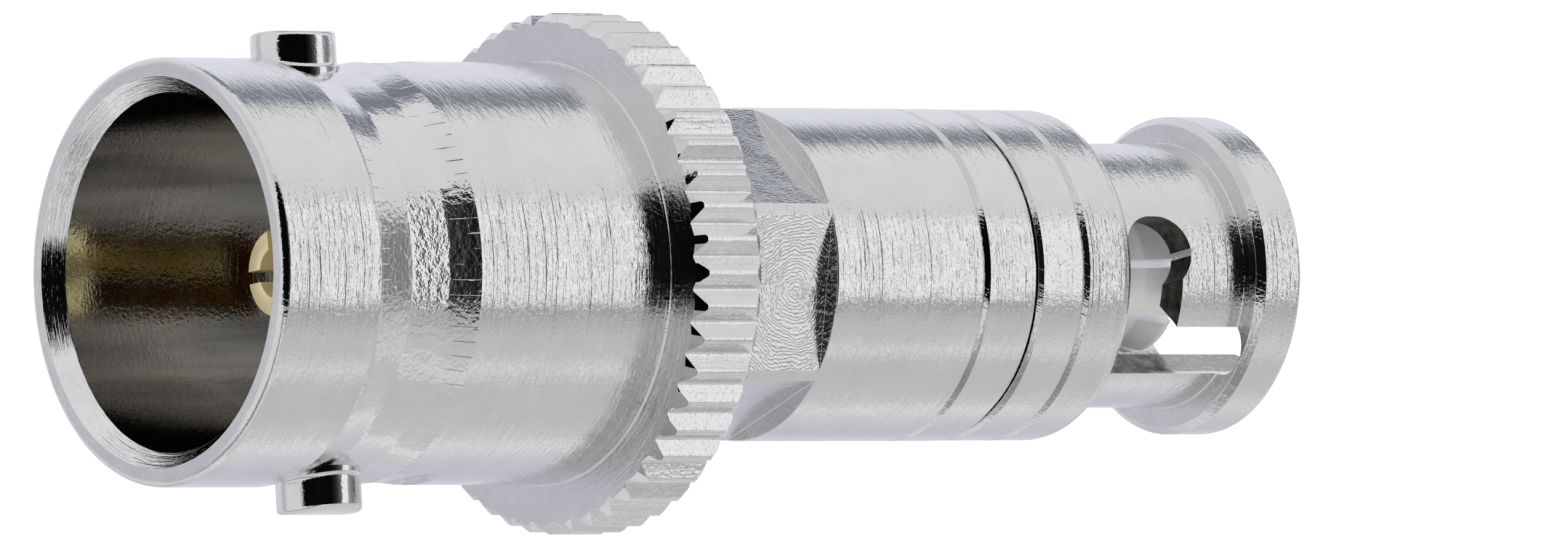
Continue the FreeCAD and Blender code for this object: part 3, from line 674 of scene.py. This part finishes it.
jack = grid_solid("jack_body_turned", jack_angles(), jack_outline, own=is_round)
for poly in jack.data.polygons:
    c = poly.center
    r, z = math.hypot(c.x, c.y) / MM, c.z / MM
    # the bore takes the bore nickel, whose darker base colour is painted shade
    if r < 4.2 and 21.85 < z < 29.76:
        poly.material_index = 2
    elif 24.58 < z < 27.43 and r > 4.3:
        poly.material_index = 1
    elif r > 5.6 and 17.412 < z < 19.278:
        poly.material_index = 3 if abs(poly.normal.z) < 0.5 else 7
    elif 13.72 < z < 17.40 and r < 3.828 and abs(poly.normal.z) < 0.1:
        poly.material_index = 4
    elif abs(z - 13.71) < 0.001:
        poly.material_index = 5
    elif 29.76 < z < 30.19 and r < 4.45:
        poly.material_index = 6


def lug(name, turn):
    """A lug: its top is part of a cylinder about the axis, its foot blends into the band."""
    rings = [(0.0, 5.48), (0.3, 5.48), (0.6, 5.48), (0.86, 5.48)]
    for k in range(1, 6):
        a = math.pi / 2 * k / 5
        rings.append((0.875 + 0.10 * math.sin(a), 5.38 + 0.10 * math.cos(a)))
    rings += [(0.975, 5.1), (0.975, 4.80)]
    for k in range(1, 5):
        a = math.pi / 2 * k / 4
        rings.append((0.975 + 0.08 * (1 - math.cos(a)), 4.80 - 0.10 * math.sin(a)))
    rings.append((1.055, 4.5))
    segs = 64
    verts, faces = [], []
    for rho, reach in rings[1:]:
        for j in range(segs):
            a = 2 * math.pi * j / segs
            y, z = rho * math.cos(a), rho * math.sin(a)
            x = math.sqrt(max(0.0, reach ** 2 - y ** 2))
            verts.append((x, y, 26.0 + z))
    centre = len(verts)
    verts.append((5.48, 0.0, 26.0))
    for i in range(len(rings) - 2):
        for j in range(segs):
            m = (j + 1) % segs
            faces.append((i * segs + j, (i + 1) * segs + j, (i + 1) * segs + m, i * segs + m))
    for j in range(segs):
        faces.append((centre, j, (j + 1) % segs))
    last = (len(rings) - 2) * segs
    faces.append(tuple(last + j for j in reversed(range(segs))))
    c, s = math.cos(turn), math.sin(turn)
    verts = [((x * c - y * s) * MM, (x * s + y * c) * MM, z * MM) for x, y, z in verts]
    mesh = bpy.data.meshes.new(name)
    mesh.from_pydata(verts, [], faces)
    mesh.polygons.foreach_set("use_smooth", [True] * len(mesh.polygons))
    mesh.update()
    mesh.set_sharp_from_angle(angle=RAD(50))
    return add_object(name, mesh)


for i, turn in enumerate((0.0, math.pi)):
    o = lug("lug_%d" % (i + 1), turn)
    place(o, "jack_body", "adapter", "jack_nickel", LUGS)
place(jack, "jack_body", "adapter", "jack_nickel", NICKEL, BAND, BORE, TEETH, FLATS, ENDS, MOUTH,
      BEVELS)

# ---------------------------------------------------------------- plug body
place(lathe("plug_flange", [
    (1.2, 12.0, 0.02), (1.2, 10.8, 0.02), (1.6, 10.8, 0.02), (1.6, 5.45, 0.03),
    (2.25, 5.45, 0.05), (2.25, 5.8, 0.02), (2.02, 5.8, 0.02), (2.02, 6.2, 0.02),
    (2.55, 6.2, 0.03), (2.55, 7.83, 0.02), (3.68, 7.83, 0.004), (3.68, 8.03, 0.01),
    (3.83, 8.03, 0.02), (3.83, 9.28, 0.015),
    (3.69, 9.42, 0.02), (3.68, 9.48, 0.005), (2.9, 9.48, 0.02), (2.9, 12.0, 0.06)]),
    "plug_body", "adapter", "body_nickel", NICKEL)


# ---------------------------------------------------------------- slotted sleeve
def fingers(name, outline, first, count, slit, segs=7):
    """Fingers split by parallel-sided slits: outline is the closed section of one."""
    objs = []
    for k in range(count):
        a0 = first + 2 * math.pi * k / count
        a1 = a0 + 2 * math.pi / count
        cols = []
        for j in range(segs + 1):
            f = j / segs
            pts = []
            for r, z in outline:
                d = math.asin(min(0.9, slit / 2 / r))
                pts.append((a0 + d + (a1 - a0 - 2 * d) * f, r, z))
            cols.append(pts)
        verts, faces = [], []
        n = len(outline)
        for pts in cols:
            for a, r, z in pts:
                verts.append((r * math.cos(a) * MM, r * math.sin(a) * MM, z * MM))
        for j in range(segs):
            for i in range(n):
                m = (i + 1) % n
                faces.append((j * n + i, (j + 1) * n + i, (j + 1) * n + m, j * n + m))
        faces.append(tuple(range(n)))
        faces.append(tuple(segs * n + i for i in reversed(range(n))))
        objs.append((verts, faces))
    verts, faces = [], []
    for v, f in objs:
        base = len(verts)
        verts += v
        faces += [tuple(i + base for i in face) for face in f]
    mesh = bpy.data.meshes.new(name)
    mesh.from_pydata(verts, [], faces)
    mesh.polygons.foreach_set("use_smooth", [True] * len(mesh.polygons))
    mesh.update()
    mesh.set_sharp_from_angle(angle=RAD(40))
    return add_object(name, mesh)


def outline_of(corners, steps=4):
    return [(r, z) for r, z, nr, nz in stations(corners, steps)]


tube = lathe("sleeve_tube", [(1.28, 4.7, 0), (1.6, 4.7, 0), (1.6, 10.8, 0.02), (1.28, 10.8, 0.02)])
place(tube, "plug_outer_contact", "adapter", "sleeve_nickel", SLEEVE)
tips = fingers("sleeve_fingers", outline_of([
    (1.28, 4.72, 0), (1.28, 2.0, 0.05), (1.68, 2.0, 0.03), (1.78, 2.10, 0.05),
    (1.78, 2.25, 0.15), (1.6, 2.95, 0.5), (1.6, 4.72, 0)]), RAD(3.95), 8, 0.2, segs=10)
place(tips, "plug_outer_contact", "adapter", "sleeve_nickel", SLEEVE, SLEEVE_EDGE)
for poly in tips.data.polygons:
    away = Vector((poly.center.x, poly.center.y, 0)).normalized()
    if abs(poly.normal.cross(away).z) > 0.8:
        poly.material_index = 1

# ---------------------------------------------------------------- socket contact
rod = lathe("socket_rod", [
    (0.0001, 22.3, 0), (0.0001, 12.6, 0), (0.35, 12.6, 0), (0.7, 12.6, 0.05), (0.7, 21.8, 0.02),
    (1.0, 21.8, 0.04), (1.0, 23.05, 0), (0.6, 23.05, 0), (0.6, 22.3, 0)], segs=128)
place(rod, "bnc_contact", "adapter", "gold", GOLD, GILT_SIDE)
prongs = fingers("socket_fingers", outline_of([
    (0.6, 23.0, 0), (0.985, 23.0, 0), (1.0, 24.5, 0.5), (1.0, 26.9, 0.05), (0.56, 26.9, 0.03),
    (0.56, 26.5, 0.1), (0.6, 26.2, 0.1)]), RAD(2.0), 4, 0.28, segs=16)
place(prongs, "bnc_contact", "adapter", "gold", GOLD, GILT_SIDE)
# the side faces take the dark gilt, which is painted shade
for o in (rod, prongs):
    for poly in o.data.polygons:
        if abs(poly.normal.z) < 0.4 and math.hypot(poly.center.x, poly.center.y) > 0.93 * MM:
            poly.material_index = 1
place(lathe("plug_pin_turned", [
    (0.0001, 14.3, 0), (0.0001, 1.2, 0), (0.25, 1.2, 0.1), (0.45, 1.52, 0.2), (0.45, 12.6, 0.02),
    (0.35, 12.6, 0.01), (0.35, 14.3, 0.03)], segs=96), "plug_pin", "adapter", "gold", GOLD)


# ---------------------------------------------------------------- coupling nut
def nut():
    body = lathe("nut_turned", [
        (2.42, 0.0, 0.02), (3.69, 0.0, 0.10), (3.69, 1.055, 0.03), (3.52, 1.225, 0.03),
        (3.065, 1.225, 0.035), (3.065, 4.98, 0.05), (3.82, 4.98, 0.5), (3.82, 6.36, 0.015),
        (3.69, 6.49, 0.02), (3.68, 6.56, 0.005), (3.35, 6.56, 0.01), (3.35, 7.40, 0.03),
        (2.95, 7.40, 0.03), (2.95, 5.75, 0.03), (2.3, 5.75, 0.03), (2.3, 0.15, 0.05)],
        segs=288, steps=4)
    cutters = []
    for half_turn in (0.0, math.pi):
        entry, seat = RAD(-130.8) + half_turn, RAD(-85.3) + half_turn
        # entry slot, with its round bottom inside the rim
        radial = Vector((math.cos(entry), math.sin(entry), 0))
        side = Vector((-radial.y, radial.x, 0))
        ring = [(1.2, -0.685)]
        for i in range(33):
            b = -math.pi / 2 + math.pi * i / 32
            ring.append((2.8 + 0.685 * math.cos(b), 0.685 * math.sin(b)))
        ring.append((1.2, 0.685))
        verts = []
        for z in (-0.5, 4.62):
            for d, w in ring:
                v = radial * d + side * w
                verts.append((v.x * MM, v.y * MM, z * MM))
        k = len(ring)
        faces = [(i, (i + 1) % k, k + (i + 1) % k, k + i) for i in range(k)]
        faces.append(tuple(reversed(range(k))))
        faces.append(tuple(k + i for i in range(k)))
        mesh = bpy.data.meshes.new("entry")
        mesh.from_pydata(verts, [], faces)
        cutters.append(add_object("entry", mesh))
        # cross slot
        cols = []
        for i in range(25):
            a = entry + (seat - entry) * i / 24
            cols.append((a, [(2.1, 3.02), (4.5, 3.02), (4.5, 4.62), (2.1, 4.62)]))
        cutters.append(column_solid("cross", cols, closed=False))
        # lug seat
        radial = Vector((math.cos(seat), math.sin(seat), 0))
        side = Vector((-radial.y, radial.x, 0))
        verts, faces, k = [], [], 64
        for d in (1.2, 5.0):
            for i in range(k):
                a = 2 * math.pi * i / k
                v = radial * d + side * (0.85 * math.cos(a))
                mid = 3.6 if i > k // 2 else 3.78
                verts.append((v.x * MM, v.y * MM, (mid + 0.85 * math.sin(a)) * MM))
        for i in range(k):
            m = (i + 1) % k
            faces.append((i, m, k + m, k + i))
        faces.append(tuple(reversed(range(k))))
        faces.append(tuple(k + i for i in range(k)))
        mesh = bpy.data.meshes.new("seat")
        mesh.from_pydata(verts, [], faces)
        cutters.append(add_object("seat", mesh))
    import bmesh
    for c in cutters:
        bm = bmesh.new()
        bm.from_mesh(c.data)
        bmesh.ops.recalc_face_normals(bm, faces=bm.faces)
        bm.to_mesh(c.data)
        bm.free()
        m = body.modifiers.new("cut", "BOOLEAN")
        m.operation = "DIFFERENCE"
        m.solver = "EXACT"
        m.object = c
    bpy.context.view_layer.update()
    mesh = bpy.data.meshes.new_from_object(
        body.evaluated_get(bpy.context.evaluated_depsgraph_get()))
    for c in cutters:
        bpy.data.objects.remove(c)
    bpy.data.objects.remove(body)
    mesh.name = "nut_body"
    mesh.polygons.foreach_set("use_smooth", [True] * len(mesh.polygons))
    # true normals: turned surfaces about the axis, seat walls about the seat's axis
    seats = [RAD(-85.3), RAD(-85.3) + math.pi]
    loops = [None] * len(mesh.loops)
    for poly in mesh.polygons:
        n, c = poly.normal, poly.center
        a = math.atan2(c.y, c.x)
        er, et = Vector((math.cos(a), math.sin(a), 0)), Vector((-math.sin(a), math.cos(a), 0))
        turned = abs(n.dot(et)) < 0.03 + 0.02 * abs(n.z) and not (
            abs(n.z) > 0.98 and 3.0 * MM < c.z < 4.7 * MM)
        # faces that are not turned take the slot walls' painted shade
        poly.material_index = 0 if turned else 1
        if turned and abs(n.z) < 0.2 and math.hypot(c.x, c.y) > 3.0 * MM:
            poly.material_index = 3
        for li in poly.loop_indices:
            v = mesh.vertices[mesh.loops[li].vertex_index].co
            if turned:
                b = math.atan2(v.y, v.x)
                flat = math.sqrt(max(0.0, 1 - n.z * n.z)) * (1 if n.dot(er) > 0 else -1)
                loops[li] = (flat * math.cos(b), flat * math.sin(b), n.z)
                continue
            best = n
            if abs(n.z) > 0.5:
                poly.material_index = 2
            for s in seats:
                axis = Vector((math.cos(s), math.sin(s), 0))
                side = Vector((-axis.y, axis.x, 0))
                if abs(n.dot(axis)) < 0.02 and c.dot(axis) > 0:
                    w = v.dot(side)
                    h = v.z - min(max(v.z, 3.6 * MM), 3.78 * MM)
                    if abs(math.hypot(w, h) - 0.85 * MM) < 5e-6:
                        best = -(side * w + Vector((0, 0, h))).normalized()
                        poly.material_index = 2
            loops[li] = tuple(best)
    mesh.normals_split_custom_set(loops)
    return add_object("nut_body", mesh)


place(nut(), "coupling_nut", "nut", "nut_nickel", NUT_NICKEL, WALLS, SEAT, NUT_SIDE)
place(lathe("nut_back_bush", [
    (2.60, 7.40, 0.02), (3.35, 7.40, 0.02), (3.35, 6.56, 0.02), (3.82, 6.56, 0.02),
    (3.82, 7.71, 0.015), (3.73, 7.80, 0.02), (2.60, 7.80, 0.04)]), "nut_rear_bush", "nut", "nut_nickel", NUT_NICKEL)
# ---------------------------------------------------------------- floor, light, camera
mesh = bpy.data.meshes.new("floor")
S = 3.0
mesh.from_pydata([(-S, -S, 0), (S, -S, 0), (S, S, 0), (-S, S, 0)], [], [(0, 1, 2, 3)])
floor = add_object("floor", mesh)
mat = bpy.data.materials.new("floor_white")
mat.use_nodes = True
t = Tree(mat.node_tree)
out = t.node("ShaderNodeOutputMaterial")
mix = t.node("ShaderNodeAddShader")
glow = t.node("ShaderNodeEmission")
glow.inputs["Color"].default_value = (1.0, 1.0, 1.0, 1)
glow.inputs["Strength"].default_value = 1.0
diffuse = t.node("ShaderNodeBsdfDiffuse")
diffuse.inputs["Color"].default_value = (0.12, 0.12, 0.12, 1)
t.link(glow.outputs[0], mix.inputs[0])
t.link(diffuse.outputs[0], mix.inputs[1])
t.link(mix.outputs[0], out.inputs[0])
floor.data.materials.append(mat)
floor.visible_glossy = False

world = bpy.data.worlds.new("studio")
bpy.context.scene.world = world
world.use_nodes = True
w = Tree(world.node_tree)
wout = w.node("ShaderNodeOutputWorld")
back = w.node("ShaderNodeBackground")
w.link(back.outputs[0], wout.inputs[0])
direction = w.node("ShaderNodeTexCoord").outputs["Generated"]
dn = w.dot(direction, tuple(N))
du = w.dot(direction, tuple(U))
dz = w.dot(direction, (0, 0, 1))
az = w.math("DIVIDE", w.math("ARCTAN2", du, dn), 2 * math.pi)  # -0.5 .. 0.5
fac = w.math("ADD", az, 0.5)


def deg(a):
    return a / 360.0 + 0.5


def grey(v, tint=(1, 1, 1)):
    """A light level from the 0-255 value that it should give."""
    c = v / 255.0
    lin = c / 12.92 if c <= 0.04045 else ((c + 0.055) / 1.055) ** 2.4
    return tuple(lin * k / 0.80 for k in tint)


BLUE = (0.97, 0.98, 1.05)
PINK = (1.0, 0.985, 0.975)
STEEL_BLUE = (0.92, 0.985, 1.12)
# below the level: what the cylinders reflect, by direction round the axis
low = w.ramp(fac, [
    (deg(-180), grey(205, BLUE)), (deg(-162), grey(197, BLUE)), (deg(-144), grey(184, BLUE)),
    (deg(-126), grey(193, BLUE)), (deg(-113), grey(200)), (deg(-108), grey(222)),
    (deg(-102), grey(190)), (deg(-80), grey(184)), (deg(-61), grey(183)), (deg(-54), grey(212)),
    (deg(-47), grey(186)), (deg(-34), grey(184)), (deg(-27), grey(172)), (deg(-21), grey(156)),
    (deg(-18), grey(158)), (deg(44), grey(203)), (deg(64), grey(208)),
    (deg(100), grey(210)), (deg(104), grey(128, STEEL_BLUE)), (deg(112), grey(120, STEEL_BLUE)),
    (deg(117), grey(138, STEEL_BLUE)), (deg(121), grey(162, STEEL_BLUE)), (deg(125), grey(194, BLUE)),
    (deg(131), grey(214, BLUE)), (deg(160), grey(210, BLUE)),
    (deg(180), grey(214, BLUE))])
# above the level: what the end faces and corners reflect
high = w.ramp(fac, [
    (deg(-180), grey(181, BLUE)), (deg(-145), grey(177, BLUE)), (deg(-128), grey(158)),
    (deg(-112), grey(150)), (deg(-94), grey(145)), (deg(-80), grey(126)), (deg(-64), grey(142)),
    (deg(-48), grey(150)), (deg(-20), grey(152)), (deg(44), grey(204, PINK)),
    (deg(64), grey(193, PINK)), (deg(96), grey(196, PINK)), (deg(122), grey(202)),
    (deg(144), grey(188, BLUE)), (deg(180), grey(182, BLUE))])
# towards the camera: a lamp below the level, darkness above it
front = w.ramp(w.math("ADD", w.math("MULTIPLY", dz, 0.5), 0.5), [
    (0.0, grey(160)), (0.043, grey(118, BLUE)), (0.0955, grey(150)), (0.120, grey(180)),
    (0.140, grey(258)), (0.238, grey(262)), (0.262, grey(108)), (0.33, grey(70)),
    (0.40, grey(34)), (0.455, grey(22)), (0.50, grey(3)), (0.988, grey(3)), (0.994, grey(190)), (1.0, grey(200))])
stripe = w.math("SINE", w.math("MULTIPLY", dz, 150.0))
lamp_only = w.math("MULTIPLY", w.span(dz, -0.74, -0.70), w.span(dz, -0.49, -0.52))
striped = w.node("ShaderNodeMix")
striped.data_type = "RGBA"
w.link(w.math("MULTIPLY", w.math("MULTIPLY", w.span(stripe, 0.1, -0.8), lamp_only), 0.62),
       striped.inputs["Factor"])
w.link(front, striped.inputs[6])
striped.inputs[7].default_value = (0.20, 0.20, 0.21, 1)
around = w.node("ShaderNodeMix")
around.data_type = "RGBA"
w.link(w.math("MULTIPLY", w.span(dz, 0.38, 0.46, smooth=True),
              w.span(dz, 0.74, 0.68, smooth=True)), around.inputs["Factor"])
calm = w.node("ShaderNodeMix")
calm.data_type = "RGBA"
w.link(w.span(dz, 0.0, 0.2, smooth=True), calm.inputs["Factor"])
w.link(low, calm.inputs[6])
calm.inputs[7].default_value = grey(204) + (1.0,)
w.link(calm.outputs[2], around.inputs[6])
w.link(high, around.inputs[7])
weave = w.noise(w.combine(w.math("MULTIPLY", az, 150.0), 0.0, 0.0), 1.0, 1.0, 0.5)
woven = w.node("ShaderNodeVectorMath", operation="SCALE")
w.link(striped.outputs[2], woven.inputs[0])
w.link(w.span(weave, 0.35, 0.65, 0.76, 1.08), woven.inputs["Scale"])
both = w.node("ShaderNodeMix")
both.data_type = "RGBA"
# the dark part is a little wider than the lamp
first = w.math("ADD", az, w.span(dz, -0.3, 0.2, 0.0, 0.0070))
last = w.math("SUBTRACT", az, w.span(dz, -0.3, 0.2, 0.0, 0.0140))
w.link(w.math("MULTIPLY", w.span(first, -0.0500, -0.0455, smooth=True),
              w.span(last, 0.1170, 0.1110, smooth=True)), both.inputs["Factor"])
w.link(around.outputs[2], both.inputs[6])
w.link(woven.outputs[0], both.inputs[7])
# the matt pieces and the floor see an even white room
path = w.node("ShaderNodeLightPath")
matt = w.node("ShaderNodeMix")
matt.data_type = "RGBA"
w.link(path.outputs["Is Glossy Ray"], matt.inputs["Factor"])
matt.inputs[6].default_value = (1.0, 1.0, 1.0, 1)
w.link(both.outputs[2], matt.inputs[7])
w.link(matt.outputs[2], back.inputs["Color"])
back.inputs["Strength"].default_value = 1.0

FOCAL_PX, WIDTH = 40000.0, 2547.0
cam_data = bpy.data.cameras.new("camera")
cam_data.sensor_width = 36.0
cam_data.lens = FOCAL_PX / WIDTH * 36.0
cam_data.clip_start, cam_data.clip_end = 0.01, 20.0
camera = bpy.data.objects.new("camera", cam_data)
bpy.context.scene.collection.objects.link(camera)
Z = Vector((0, 0, 1))
right = N * math.sin(TILT) - Z * math.cos(TILT)
backward = N * math.cos(TILT) + Z * math.sin(TILT)
up = U.copy()
roll = RAD(0.193)
right2 = right * math.cos(roll) + up * math.sin(roll)
up2 = up * math.cos(roll) - right * math.sin(roll)
AIM = Vector((0, 0, 30.2 - 17.884)) * MM
camera.matrix_world = Matrix.Translation(AIM + backward * 566.08 * MM) @ Matrix(
    (right2, up2, backward)).transposed().to_4x4()
bpy.context.scene.camera = camera
bpy.context.scene.view_settings.view_transform = "Standard"
bpy.context.scene.view_settings.look = "None"
